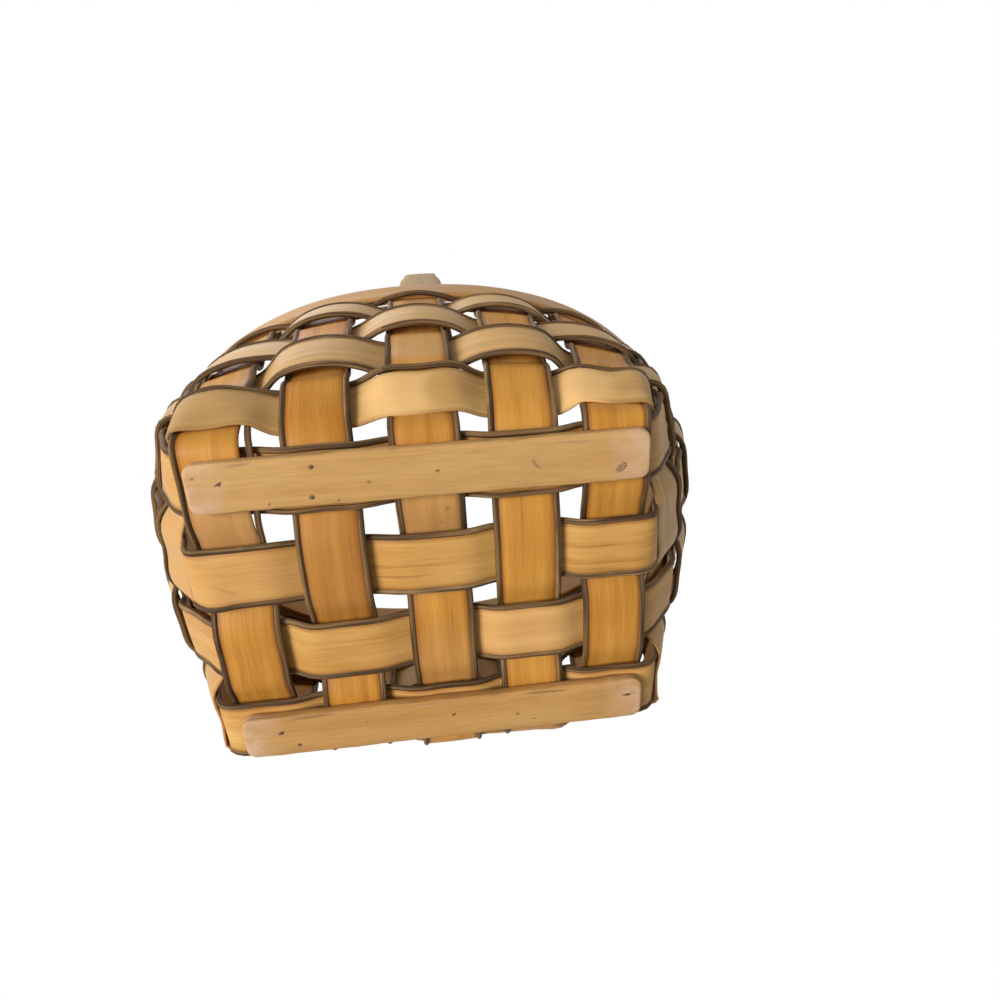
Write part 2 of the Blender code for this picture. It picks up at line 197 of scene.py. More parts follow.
# Seeds of what wanders, and of the grain
cross_seed = 101
ring_seed = 200
reed_seed_step = 20
swell_seed_step = 50
outer_band_seed = 301
inner_band_seed = 302
handle_seed = 303
rim_tack_seed = 320
handle_tack_seed = 330
front_runner_seed = 401
back_runner_seed = 411
bent_tip_seed = 421
brad_seed = 430

# Camera: a wide lens close below the base
focal_share = 0.700
camera_distance = 0.3125
camera_azimuth = -12.04
camera_elevation = -66.52
camera_roll = -15.98
camera_aim_x = 0.03158
camera_aim_y = -0.04293
camera_near = 0.01

# Light and floor
ambient = 0.26
key_distance = 2.2
key_size = 1.0
key_power = 50.0
key_back_share = 1.0
key_up_share = -0.05
key_side_share = -0.70
top_lamp_place = (-0.5, -0.7, 1.3)
top_lamp_size = 0.8
top_lamp_power = 4.0
floor_glow = 0.45
floor_half_size = 1.5
floor_drop = 0.0002
floor_roughness = 0.9

# Worked out from the sizes above
reed_radius = reed_diameter / 2
reed_half = reed_diameter * reed_square_share / 2
half_splint = splint_width / 2
half_sheet = splint_thickness / 2
reed_offset = half_splint + clearance + reed_radius
cross_gap = reed_diameter + clearance
reed_line = reed_offset - reed_snug
base_sway = cross_gap / 2
wall_stake_sway = cross_gap * wall_stake_sway_share
wall_weaver_sway = cross_gap - wall_stake_sway
top_weaver_sway = (reed_half + half_sheet + clearance - wall_stake_sway) * top_weaver_share
base_run = reed_offset + reed_half
wall_run = reed_offset + (weaver_pitch / 2 - reed_offset) * flat_run_share
base_plane = runner_thickness + clearance + base_sway + reed_radius
ring_count = 2 * (long_count + cross_count)
foot_half_length = long_pitch * (long_count - 1) / 2 + reed_offset + turn_length
foot_half_width = cross_pitch * (cross_count - 1) / 2 + reed_offset + turn_length

# Ways and curves

world_x = np.array([1.0, 0.0, 0.0])
world_y = np.array([0.0, 1.0, 0.0])
world_up = np.array([0.0, 0.0, 1.0])
world_down = np.array([0.0, 0.0, -1.0])


def unit(vectors):
    return vectors / np.linalg.norm(vectors, axis=-1, keepdims=True)


def across_to(vectors, ways):
    """Unit vectors, square to ways."""
    return unit(vectors - ways * np.sum(vectors * ways, axis=-1, keepdims=True))


def travelled(points):
    """Distance along a line of points at each of them."""
    steps = np.linalg.norm(np.diff(points, axis=0), axis=1)
    return np.concatenate([[0.0], np.cumsum(steps)])


def smooth(share):
    """0 to 1 with a level start and end, held beyond them."""
    share = np.clip(share, 0.0, 1.0)
    return share * share * (3 - 2 * share)


def curve_point(share, start, start_slope, end, end_slope):
    """Point on the cubic that leaves start and reaches end along the slopes."""
    square = share * share
    cube = square * share
    return ((2 * cube - 3 * square + 1) * start + (cube - 2 * square + share) * start_slope
            + (3 * square - 2 * cube) * end + (cube - square) * end_slope)


# Layout of the weave, as in the model

def drifted(count, pitch, shares, shift):
    middle = (count - 1) / 2
    return [(index - middle + shares[index]) * pitch + shift for index in range(count)]


long_places = drifted(long_count, long_pitch, long_drift_shares, base_shift_x)
cross_places = drifted(cross_count, cross_pitch, cross_drift_shares, base_shift_y)


def foot_layout():
    middle = long_count // 2
    front = [(x, base_shift_y - foot_half_width, 0.0) for x in long_places]
    right = [(base_shift_x + foot_half_length, y, math.pi / 2) for y in cross_places]
    back = [(x, base_shift_y + foot_half_width, math.pi) for x in reversed(long_places)]
    left = [(base_shift_x - foot_half_length, y, 3 * math.pi / 2) for y in reversed(cross_places)]
    wrapped = [(x, y, turn + 2 * math.pi) for x, y, turn in front[:middle]]
    return front[middle:] + right + back + left + wrapped


def mouth_points(count, half_length, half_width):
    """Evenly spaced points on the mouth's outline, with the turning angle there."""
    turn = np.linspace(0.0, 2 * math.pi, mouth_samples + 1) - math.pi / 2
    reach = (np.abs(np.cos(turn) / half_length) ** mouth_power
             + np.abs(np.sin(turn) / half_width) ** mouth_power) ** (-1 / mouth_power)
    x = reach * np.cos(turn)
    y = reach * np.sin(turn)
    places = travelled(np.stack([x, y], axis=1))
    rows = []
    for index in range(count):
        place = places[-1] * index / count
        px = np.interp(place, places, x)
        py = np.interp(place, places, y)
        slope_x = np.sign(px) * np.abs(px / half_length) ** (mouth_power - 1) / half_length
        slope_y = np.sign(py) * np.abs(py / half_width) ** (mouth_power - 1) / half_width
        turned = math.atan2(slope_y, slope_x) + math.pi / 2
        while turned < 2 * math.pi * index / count - math.pi:
            turned += 2 * math.pi
        rows.append((px, py, turned))
    return rows


feet = foot_layout()
mouths = mouth_points(ring_count, mouth_half_length, mouth_half_width)


def flare(height, power):
    return 1.0 - max(0.0, 1.0 - height / rim_height) ** power


def wall_point(stake, height):
    foot = feet[stake]
    mouth = mouths[stake]
    x = foot[0] + (mouth[0] - foot[0]) * flare(height, end_bulge_power)
    y = foot[1] + (mouth[1] - foot[1]) * flare(height, side_bulge_power)
    near = foot_push * (1 - smooth(height / (first_weaver_height + weaver_pitch / 2)))
    push = near * foot_push_shares.get(stake, 0.0)
    slide = near * foot_slide_shares.get(stake, 0.0)
    x += push * math.sin(foot[2]) + slide * math.cos(foot[2])
    y += slide * math.sin(foot[2]) - push * math.cos(foot[2])
    return np.array([x, y, base_plane + height])


def wall_frame(stake, height):
    turn = feet[stake][2] + (mouths[stake][2] - feet[stake][2]) * flare(height, turning_power)
    rise = unit(wall_point(stake, height + height_step) - wall_point(stake, height - height_step))
    round_way = across_to(np.array([math.cos(turn), math.sin(turn), 0.0]), rise)
    return wall_point(stake, height), round_way, rise, np.cross(round_way, rise)


def weaver_height(weaver):
    return first_weaver_height + (weaver - 1) * weaver_pitch


def runs_outside(strand, place):
    return (strand + place + 1) % 2 == 0


# Lines of the stakes: rows of a centre, a way across and a way out

def wall_rows(stake, upward):
    rows = []
    for weaver in range(1, weaver_count + 1):
        side = -1 if runs_outside(weaver, stake) else 1
        low = half_splint * foot_run_share if weaver == 1 else wall_run
        high = half_splint if weaver == weaver_count else wall_run
        for lift, bulge in ((-low, 0.0), (0.0, stake_bulge), (high, 0.0)):
            point, round_way, _, outward = wall_frame(stake, weaver_height(weaver) + lift)
            rows.append((point + outward * (wall_stake_sway + bulge) * side, round_way, outward))
    if not upward:
        rows.reverse()
    return rows


def base_rows(crossings, along, across):
    rows = []
    for centre, bulge in crossings:
        for offset in (-along * base_run, world_down * bulge, along * base_run):
            rows.append((centre + offset, across, world_down))
    for place, way in ((0, -along), (-1, along)):
        centre = crossings[place][0]
        if centre[2] > base_plane:
            rows[place] = (centre + way * base_run * tight_run_share, across, world_down)
    return rows


def eased(start, start_way, end, end_way, share):
    span = np.linalg.norm(end - start)
    return curve_point(share, start, span * start_way, end, span * end_way)


def turn_rows(base_end, wall_end, along, rise, going_up):
    """Rounded corner from the base up into the wall."""
    start, across, _ = base_end
    end, round_way, _ = wall_end
    flip = 1 if np.dot(across, round_way) > 0 else -1
    rows = []
    for index in range(1, turn_steps + 1):
        share = index / (turn_steps + 1)
        way = unit(eased(start, along, end, rise, share + turn_step_share)
                   - eased(start, along, end, rise, share - turn_step_share))
        side_way = across_to(across * flip * (1 - share) + round_way * share, way)
        rows.append((eased(start, along, end, rise, share), side_way, np.cross(side_way, way)))
    if not going_up:
        rows.reverse()
    return rows


def stake_rows(first_stake, last_stake, crossings, along):
    across = np.array([-along[1], along[0], 0.0])
    first = wall_rows(first_stake, False)
    last = wall_rows(last_stake, True)
    base = base_rows(crossings, along, across)
    foot_height = first_weaver_height - half_splint * foot_run_share
    first_rise = wall_frame(first_stake, foot_height)[2]
    last_rise = wall_frame(last_stake, foot_height)[2]
    first_turn = turn_rows(base[0], first[-1], -along, first_rise, False)
    last_turn = turn_rows(base[-1], last[0], along, last_rise, True)
    rows = []
    for centre, side_way, out in first + first_turn + base + last_turn + last:
        if rows and np.dot(side_way, rows[-1][1]) < 0:
            side_way = -side_way
        rows.append((centre, side_way, out))
    return rows


def crossing(place, row, outside, held):
    """Centre of a strand where it crosses another, and how far it bulges down there."""
    side = 1 if outside else -1
    centre = np.array([long_places[place], cross_places[row], base_plane - side * base_sway])
    return centre, (0.0 if held else row_bulge * side)


def on_runner(row):
    return row in (0, cross_count - 1)


def long_rows(place):
    middle = long_count // 2
    front = (place - middle) % ring_count
    back = middle + cross_count + long_count - place
    crossings = [crossing(place, row, not runs_outside(row, place), on_runner(row))
                 for row in range(cross_count)]
    return stake_rows(front, back, crossings, world_y)


def cross_rows(row):
    right = long_count // 2 + 1 + row
    left = ring_count - long_count // 2 - 1 - row
    crossings = [crossing(place, row, runs_outside(row, place), on_runner(row))
                 for place in range(long_count)]
    crossings[0][0][1] -= foot_push * foot_slide_shares.get(left, 0.0) * crossing_slide_share
    return stake_rows(left, right, crossings, world_x)


# Lines of the weavers

def bulge_at(weaver, stake, lift):
    """How far a weaver swells away from a stake; the top one only under the rim band."""
    outside = runs_outside(weaver, stake)
    if weaver == weaver_count and (lift > -reed_line or not outside):
        return 0.0
    if weaver == 1 and not (stake == proud_stake and lift > 0):
        return 0.0
    bulge = weaver_bulge_out if outside else weaver_bulge_in
    from_middle = min(stake % (ring_count // 2), -stake % (ring_count // 2))
    if from_middle > long_count // 2:
        bulge *= end_wall_bulge_share
    return bulge * (proud_bulge_share if weaver == 1 else 1.0)


def weaver_rows(weaver, lift, sway):
    """Line round the wall, lift above the weaver's middle, bulging over each stake."""
    rows = []
    low_edge = weaver == 1 and lift < 0
    tuck = low_edge_tuck if low_edge else 0.0
    run = base_run * (top_run_share if sway == top_weaver_sway else 1.0)
    for stake in range(ring_count):
        point, round_way, rise, outward = wall_frame(stake, weaver_height(weaver) + lift)
        side = 1 if runs_outside(weaver, stake) else -1
        held = low_edge_share if low_edge and side < 0 else 1.0
        centre = point + outward * (sway * held * side - tuck)
        bulge = outward * bulge_at(weaver, stake, lift) * side
        for offset in (-round_way * run, bulge, round_way * run):
            rows.append((centre + offset, rise, outward))
    return rows


def weaver_middle_rows(weaver):
    sway = top_weaver_sway if weaver == weaver_count else wall_weaver_sway
    low = weaver_rows(weaver, -half_splint, sway)
    high = weaver_rows(weaver, half_splint, sway)
    rows = []
    for (below, _, out_below), (above, _, out_above) in zip(low, high):
        rows.append(((below + above) / 2, unit(above - below), unit(out_below + out_above)))
    return rows


# Smooth paths and what is swept along them

def through(values, places, at):
    """Smooth curve that passes through values at places, read at other places."""
    slopes = np.gradient(values, places, axis=0)
    index = np.clip(np.searchsorted(places, at, side="right") - 1, 0, len(places) - 2)
    span = (places[index + 1] - places[index])[:, None]
    share = (at - places[index])[:, None] / span
    return curve_point(share, values[index], span * slopes[index],
                       values[index + 1], span * slopes[index + 1])


def smooth_path(rows, closed):
    """Centres, ways across, ways out and distances, one path step apart."""
    columns = [np.array(column) for column in zip(*rows)]
    places = travelled(columns[0])
    total = places[-1]
    if closed:
        total += np.linalg.norm(columns[0][0] - columns[0][-1])
        places = np.concatenate([places[-2:] - total, places, places[:2] + total])
        columns = [np.concatenate([column[-2:], column, column[:2]]) for column in columns]
    at = np.linspace(0.0, total, round(total / path_step) + 1)
    centres, sides, outs = (through(column, places, at) for column in columns)
    ahead = np.gradient(centres, at, axis=0)
    if closed:
        ahead[0] = ahead[-1] = centres[1] - centres[-2]
    ahead = unit(ahead)
    sides = across_to(sides, ahead)
    outs = across_to(outs - sides * np.sum(outs * sides, axis=1, keepdims=True), ahead)
    return centres, sides, outs, at


def waves(at, total, amount, seed, closed):
    """Slow wander of a strand: a few sines, whole turns on a closed ring."""
    chance = np.random.default_rng(seed)
    result = np.zeros_like(at)
    for count in wave_counts:
        turns = count if closed else count * chance.uniform(*wave_range_shares)
        result += np.sin(2 * math.pi * (turns * at / total + chance.uniform())) / math.sqrt(count)
    return result * amount


def strand_path(rows, closed, seed):
    """Smooth path through the rows, which wanders a little."""
    centres, sides, outs, at = smooth_path(rows, closed)
    total = at[-1]
    sideways = waves(at, total, sideways_wander, seed, closed)
    outward = waves(at, total, outward_wander, seed + outward_seed_step, closed)
    return centres + sides * sideways[:, None] + outs * outward[:, None], sides, outs, at


def facing_out(vertices, faces):
    quads = vertices[np.array([face[:3] for face in faces])]
    volume = np.sum(quads[:, 0] * np.cross(quads[:, 1], quads[:, 2]))
    return volume >= 0


def sweep(node, path, section, closed, seed, material):
    """Piece with a section carried along a path and its grain along it, for a node of the model."""
    centres, sides, outs, at = path
    if closed:
        centres, sides, outs = centres[:-1], sides[:-1], outs[:-1]
    count = len(centres)
    corners = section.shape[-2]
    section = np.broadcast_to(section, (count, corners, 2))
    points = (centres[:, None] + sides[:, None] * section[..., 0:1] + outs[:, None] * section[..., 1:2])
    round_places = travelled(np.vstack([section[0], section[0][:1]]))
    rows = np.arange(count if closed else count - 1)
    row, corner = (grid.ravel() for grid in np.meshgrid(rows, np.arange(corners), indexing="ij"))
    quad = ((0, 0), (1, 0), (1, 1), (0, 1))
    faces = np.stack([(row + ahead) % count * corners + (corner + beside) % corners
                      for ahead, beside in quad], axis=1)
    grain = np.stack([np.stack([at[row + ahead], round_places[corner + beside]], 1)
                      for ahead, beside in quad], axis=1)
    all_faces = [tuple(face) for face in faces.tolist()]
    all_grain = grain.reshape(-1, 2)
    if not closed:
        all_faces += [tuple(range(corners))[::-1], tuple(range((count - 1) * corners, count * corners))]
        all_grain = np.vstack([all_grain, section[0][::-1], section[-1]])
    vertices = points.reshape(-1, 3)
    obj = mesh_object("dressed_" + node, vertices, all_faces, all_grain + seed * grain_step)
    across = section[..., 0] / np.abs(section[..., 0]).max()
    add_value(obj, "across", across.ravel())
    add_value(obj, "tone", np.full(len(vertices), np.random.default_rng(seed).uniform()))
    dress(obj, node, material)
    return obj


def linked(name, data):
    obj = bpy.data.objects.new(name, data)
    bpy.context.scene.collection.objects.link(obj)
    return obj


def mesh_object(name, vertices, faces, grain):
    mesh = bpy.data.meshes.new(name)
    mesh.from_pydata(vertices.tolist(), [], faces)
    layer = mesh.uv_layers.new(name="grain")
    layer.data.foreach_set("uv", np.asarray(grain, dtype=np.float32).ravel())
    mesh.polygons.foreach_set("use_smooth", [True] * len(mesh.polygons))
    mesh.update()
    if not facing_out(vertices, faces):
        mesh.flip_normals()
    return linked(name, mesh)


def add_value(obj, name, values):
    attribute = obj.data.attributes.new(name, "FLOAT", "POINT")
    attribute.data.foreach_set("value", np.asarray(values, dtype=np.float32))


def splint_section(half_width, half_thickness, edge, crown):
    """Flat strip with rounded edges, slightly crowned."""
    rows = []
    for quarter, (sign_x, sign_y) in enumerate(((1, 1), (-1, 1), (-1, -1), (1, -1))):
        for index in range(quarter_steps + 1):
            turn = math.pi / 2 * (quarter + index / quarter_steps)
            rows.append((sign_x * (half_width - edge) + edge * math.cos(turn),
                         sign_y * (half_thickness - edge) + edge * math.sin(turn)))
        if quarter in (0, 2):
            rows += [(sign_x * share * half_width, sign_y * half_thickness) for share in flat_shares]
    section = np.array(rows)
    section[:, 1] += crown * (1 - (section[:, 0] / half_width) ** 2)
    return section


def strip_sections(at, half_width, half_thickness, edge, crown):
    """The section of a flat strip, once for each point of a path."""
    return np.repeat(splint_section(half_width, half_thickness, edge, crown)[None], len(at), axis=0)


def round_section(radius, sides):
    turn = 2 * math.pi * np.arange(sides) / sides
    return np.stack([np.cos(turn), np.sin(turn)], axis=1) * radius


def reed_sections(at, seed, closed):
    """Round sections that swell and thin along the reed, shaved thin at free ends."""
    swell = 1 - reed_swell_share / 2 + waves(at, at[-1], reed_swell_share / 4, seed, closed)
    if closed:
        swell = swell[:-1]
    else:
        from_end = np.minimum(at, at[-1] - at) / reed_tip_length
        swell = swell * (reed_tip_share + (1 - reed_tip_share) * np.clip(from_end, 0.0, 1.0))
    return round_section(reed_radius * reed_thin_share, reed_sides)[None] * swell[:, None, None]


def dress(obj, node, material):
    """Lets a piece stand for its node of the model."""
    obj.data.materials.append(material)
    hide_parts(node)
    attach(obj, "root")


# Shader building

def is_socket(value):
    return isinstance(value, bpy.types.NodeSocket)


def add_node(tree, kind, inputs=None, **settings):
    made = tree.nodes.new("ShaderNode" + kind)
    for key, value in settings.items():
        setattr(made, key, value)
    for key, value in (inputs or {}).items():
        if is_socket(value):
            tree.links.new(value, made.inputs[key])
        else:
            made.inputs[key].default_value = value
    return made


def vector_math(tree, operation, first, second=(0.0, 0.0, 0.0)):
    return add_node(tree, "VectorMath", {0: first, 1: second}, operation=operation)


def noise(tree, vector, texture):
    """Noise with a texture's features to the metre along and across the grain."""
    along, across, detail, roughness, distortion = texture
    scaled = vector_math(tree, "MULTIPLY", vector, (along, across, 1.0))
    made = add_node(tree, "TexNoise",
                    {"Vector": scaled.outputs[0], "Scale": 1.0, "Detail": detail,
                     "Roughness": roughness, "Distortion": distortion})
    return made.outputs["Fac"]


def spread(tree, value, low, high, to_low=0.0, to_high=1.0):
    """Maps low..high onto to_low..to_high, held at both ends."""
    mapped = add_node(tree, "MapRange",
                      {"Value": value, "From Min": low, "From Max": high,
                       "To Min": to_low, "To Max": to_high}, interpolation_type="SMOOTHSTEP")
    return mapped.outputs["Result"]


def opaque(colour):
    return colour if is_socket(colour) else (*colour, 1.0)


def mixed(tree, factor, first, second, blend="MIX"):
    made = add_node(tree, "Mix", data_type="RGBA", blend_type=blend,
                    inputs={0: factor, 6: opaque(first), 7: opaque(second)})
    return made.outputs[2]


def shaded(tree, colour, shade):
    """Colour times a plain shade."""
    grey = add_node(tree, "CombineColor", {0: shade, 1: shade, 2: shade})
    return mixed(tree, 1.0, colour, grey.outputs[0], "MULTIPLY")


def calculated(tree, operation, first, second=0.0):
    return add_node(tree, "Math", {0: first, 1: second}, operation=operation).outputs[0]


def times(tree, first, second):
    return calculated(tree, "MULTIPLY", first, second)


def plus(tree, first, second):
    return calculated(tree, "ADD", first, second)


def attribute(tree, name):
    return add_node(tree, "Attribute", attribute_name=name).outputs["Fac"]


def to_edge(tree):
    """0 at a strip's middle, 1 at its edges."""
    return calculated(tree, "ABSOLUTE", attribute(tree, "across"))


def new_material(name):
    material = bpy.data.materials.new(name)
    material.use_nodes = True
    tree = material.node_tree
    return material, tree, tree.nodes["Principled BSDF"]


def grain_vector(tree):
    return add_node(tree, "UVMap", uv_map="grain").outputs["UV"]


def spot(tree, centre, reach, turn):
    """1 inside an ellipse on the model at centre, 0 outside; reach is its two half axes."""
    place = add_node(tree, "TexCoord").outputs["Object"]
    moved = vector_math(tree, "SUBTRACT", place, centre)
    level = add_node(tree, "VectorRotate",
                     {"Vector": moved.outputs[0], "Angle": -turn}, rotation_type="Z_AXIS")
    scale = (1 / reach[0], 1 / reach[1], 1 / max(reach))
    size = vector_math(tree, "LENGTH", vector_math(tree, "MULTIPLY", level.outputs[0], scale).outputs[0])
    return spread(tree, size.outputs["Value"], 1.0 - spot_softness, 1.0 + spot_softness, 1.0, 0.0)


def with_spots(tree, colour, height, spots):
    """Marks, each a centre, two half axes, a turn, a colour and a strength."""
    for centre, reach, turn, tint, strength in spots:
        mask = times(tree, spot(tree, centre, reach, turn), strength)
        colour = mixed(tree, mask, colour, tint)
        height = calculated(tree, "SUBTRACT", height, mask)
    return colour, height


def finish_surface(tree, shader, colour, roughness, height, bump):
    """Links the surface's colour, roughness and height; bump is a distance and a strength."""
    distance, strength = bump
    bumped = add_node(tree, "Bump",
                      {"Height": height, "Distance": distance, "Strength": strength})
    tree.links.new(colour, shader.inputs["Base Color"])
    tree.links.new(roughness, shader.inputs["Roughness"])
    tree.links.new(bumped.outputs["Normal"], shader.inputs["Normal"])


def finish_wood(tree, shader, colour, roughness, height, bump):
    finish_surface(tree, shader, colour, roughness, height, bump)
    shader.inputs["Specular IOR Level"].default_value = wood_gloss


# Textures: features to the metre along and across the grain, detail, roughness and distortion
zone_texture = (13, 38, 2.0, 0.5, 0.3)
streak_texture = (5, 130, 6.0, 0.62, 0.3)
fibre_texture = (60, 1500, 3.0, 0.6, 0.0)
line_texture = (8, 360, 5.0, 0.68, 0.6)
figure_texture = (7, 60, 1.0, 0.45, 0.6)
speck_texture = (150, 380, 1.0, 0.5, 0.0)
rub_texture = (90, 160, 4.0, 0.65, 0.0)
dirt_texture = (60, 900, 4.0, 0.7, 0.0)
strand_texture = (14, 900, 3.0, 0.65, 0.3)
patch_texture = (26, 130, 3.0, 0.6, 0.0)
stain_texture = (1800, 1800, 3.0, 0.6, 0.0)

# Levels: where a noise starts and ends, and what it gives there
streak_levels = (0.36, 0.64, 0.0, 0.50)
zone_levels = (0.34, 0.66, -0.08, 0.42)
line_levels = (0.54, 0.70)
line_zone_levels = (0.38, 0.58, 0.70, 0.12)
ring_levels = (0.2, 1.0, 0.0)
ring_zone_levels = (0.40, 0.60)
fibre_levels = (0.25, 0.75, 0.90, 1.07)
speck_levels = (0.77, 0.83, 0.0, 0.55)
splint_edge_levels = (0.80, 0.99, 0.0)
splint_sheen_levels = (0.25, 0.75)
rub_levels = (0.35, 0.65, 0.25, 0.95)
board_edge_levels = (0.80, 0.97)
dirt_levels = (0.50, 0.66, 0.0, 0.70)
board_sheen_levels = (0.3, 0.7, 0.50, 0.66)
strand_levels = (0.40, 0.60)
strand_highlight_levels = (0.42, 0.60, 0.1, 0.85)
patch_levels = (0.52, 0.74)
patch_shade_levels = (0.2, 0.8, 0.80, 1.15)
reed_sheen_levels = (0.3, 0.7, 0.50, 0.70)
stain_levels = (0.38, 0.62)
nail_sheen_levels = (0.3, 0.7, 0.36, 0.62)

# Surfaces: bump distances with their strengths, rings in the wood's figure, and gloss
splint_bump = (0.00030, 0.6)
board_bump = (0.0004, 0.6)
reed_bump = (0.0006, 0.9)
nail_bump = (0.0001, 1.0)
figure_rings = 60.0
tone_share = 0.22
fibre_height_share = 0.5
spot_softness = 0.35
wood_gloss = 0.22
splint_roughness = 0.42
weaver_roughness = 0.40
roughness_range = 0.16
board_figure = 0.10


def wood_colour(tree, grain, tones, figure_strength):
    """Colour and height of split wood: uneven zones, streaks along the grain and fine fibres."""
    light, deep, streak = tones
    zones = noise(tree, grain, zone_texture)
    streaks = noise(tree, grain, streak_texture)
    fibres = noise(tree, grain, fibre_texture)
    blend = plus(tree, spread(tree, streaks, *streak_levels), spread(tree, zones, *zone_levels))
    blend = plus(tree, blend, times(tree, attribute(tree, "tone"), tone_share))
    colour = mixed(tree, blend, deep, light)
    lines = noise(tree, grain, line_texture)
    gathered = times(tree, spread(tree, lines, *line_levels), spread(tree, zones, *line_zone_levels))
    colour = mixed(tree, gathered, colour, streak)
    rings = calculated(tree, "SINE", times(tree, noise(tree, grain, figure_texture), figure_rings))
    flowing = times(tree, spread(tree, rings, *ring_levels, figure_strength),
                    spread(tree, zones, *ring_zone_levels))
    colour = mixed(tree, flowing, colour, deep)
    colour = shaded(tree, colour, spread(tree, fibres, *fibre_levels))
    specks = noise(tree, grain, speck_texture)
    colour = mixed(tree, spread(tree, specks, *speck_levels), colour, streak)
    return colour, plus(tree, streaks, times(tree, fibres, fibre_height_share)), zones


def splint_material(name, tones, roughness, figure_strength, edge_shade, spots=()):
    """Split wood with a worn sheen; its edges darken where the reeds lie along them, partly painted
    contact shade and partly stain from the dyed reeds.
    """
    material, tree, shader = new_material(name)
    colour, height, zones = wood_colour(tree, grain_vector(tree), tones, figure_strength)
    # Painted contact shade along the edges, partly stain from the dyed reeds: darkened towards the
    # streak tone
    colour = mixed(tree, spread(tree, to_edge(tree), *splint_edge_levels, edge_shade), colour, tones[-1])
    colour, height = with_spots(tree, colour, height, spots)
    sheen = spread(tree, zones, *splint_sheen_levels, roughness, roughness + roughness_range)
    finish_wood(tree, shader, colour, sheen, height, splint_bump)
    return material


def board_material(name, tones, pale, spots):
    """Planed board, rubbed pale at its ends, with dents and nail stains."""
    material, tree, shader = new_material(name)
    grain = grain_vector(tree)
    colour, height, zones = wood_colour(tree, grain, tones, board_figure)
    rub = noise(tree, grain, rub_texture)
    # On a board this is wear only: rubbed pale towards its ends
    rub_and_highlight = times(tree, attribute(tree, "wear_and_highlight"), spread(tree, rub, *rub_levels))
    colour = mixed(tree, rub_and_highlight, colour, pale)
    dirt = noise(tree, grain, dirt_texture)
    grimy = times(tree, spread(tree, to_edge(tree), *board_edge_levels),
                  spread(tree, dirt, *dirt_levels))
    colour = mixed(tree, grimy, colour, tones[-1])
    colour, height = with_spots(tree, colour, height, spots)
    finish_wood(tree, shader, colour, spread(tree, zones, *board_sheen_levels), height, board_bump)
    return material


def reed_material(name, light, deep, wear_and_highlight):
    """Dyed round reed: fibres along its length, with painted highlights as pale patches on its top
    strands.
    """
    material, tree, shader = new_material(name)
    grain = grain_vector(tree)
    strands = noise(tree, grain, strand_texture)
    patches = noise(tree, grain, patch_texture)
    colour = mixed(tree, spread(tree, strands, *strand_levels), deep, light)
    rub_and_highlight = times(tree, spread(tree, patches, *patch_levels),
                   spread(tree, strands, *strand_highlight_levels))
    # Painted highlight: pale patches where the strands stand high
    colour = mixed(tree, rub_and_highlight, colour, wear_and_highlight)
    colour = shaded(tree, colour, spread(tree, patches, *patch_shade_levels))
    finish_wood(tree, shader, colour, spread(tree, patches, *reed_sheen_levels), strands, reed_bump)
    return material


def nail_material(name, dark, light, metallic):
    material, tree, shader = new_material(name)
    stain = noise(tree, grain_vector(tree), stain_texture)
    colour = mixed(tree, spread(tree, stain, *stain_levels), dark, light)
    finish_surface(tree, shader, colour, spread(tree, stain, *nail_sheen_levels), stain, nail_bump)
    shader.inputs["Metallic"].default_value = metallic
    return material


def box_middle(node):
    low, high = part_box(node)
    return [(low[axis] + high[axis]) / 2 for axis in range(3)]


def runner_spots(node, rows):
    """Marks on a runner's face, placed by shares of its size from its middle."""
    x, y, _ = box_middle(node)
    return [((x + share_x * runner_length, y + share_y * runner_width, 0.0),
             (length / 2, width / 2), math.radians(turn), tint, strength)
            for (share_x, share_y), length, width, turn, tint, strength in rows]


# Colours: light, deep and streak tones of each wood, and single ones

honey_tones = ((0.70, 0.330, 0.058), (0.47, 0.185, 0.022), (0.30, 0.095, 0.010))
tan_light = (0.74, 0.415, 0.130)
tan_streak = (0.36, 0.145, 0.030)
tan_tones = (tan_light, (0.57, 0.275, 0.062), tan_streak)
weaver_tones = ((0.75, 0.445, 0.167), (0.57, 0.318, 0.092), (0.33, 0.165, 0.053))
rim_tones = ((0.66, 0.342, 0.100), (0.48, 0.235, 0.056), (0.30, 0.15, 0.045))
handle_tones = ((0.54, 0.322, 0.125), (0.41, 0.226, 0.077), (0.26, 0.16, 0.075))
board_streak = (0.34, 0.175, 0.070)
front_board_tones = ((0.64, 0.370, 0.135), (0.53, 0.277, 0.082), board_streak)
back_board_tones = ((0.62, 0.345, 0.120), (0.50, 0.250, 0.072), board_streak)
board_pale = (0.70, 0.47, 0.31)
# Painted highlight: the pale left halves of the first weaver's bulges over the front stakes
weaver_highlight = (1.00, 0.610, 0.240)
# Painted shade on the right halves of those bulges; the same darker colour also dulls the first weaver
# over stake 16
weaver_shade_and_dull = (0.44, 0.245, 0.074)
weaver_orange = (0.62, 0.320, 0.100)
honey_dull = (0.58, 0.355, 0.170)
honey_dark = (0.38, 0.155, 0.045)
honey_worn = (0.78, 0.480, 0.180)
# Painted highlight: whitish sheen stretches on the crosswise splints
tan_highlight = (0.92, 0.540, 0.225)
# The reeds' third tone is a painted highlight
reed_tones = ((0.220, 0.120, 0.045), (0.060, 0.030, 0.011), (0.39, 0.26, 0.13))
rusty_tones = ((0.045, 0.026, 0.016), (0.16, 0.10, 0.065))
dull_tones = ((0.10, 0.085, 0.070), (0.33, 0.30, 0.26))
bright_tones = ((0.06, 0.036, 0.020), (0.50, 0.36, 0.19))
floor_grey = (0.86, 0.86, 0.85, 1.0)
dent_brown = (0.20, 0.095, 0.040)
nail_stain = (0.13, 0.065, 0.030)
scuff_grey = (0.36, 0.20, 0.125)
rust_spot = (0.22, 0.045, 0.012)

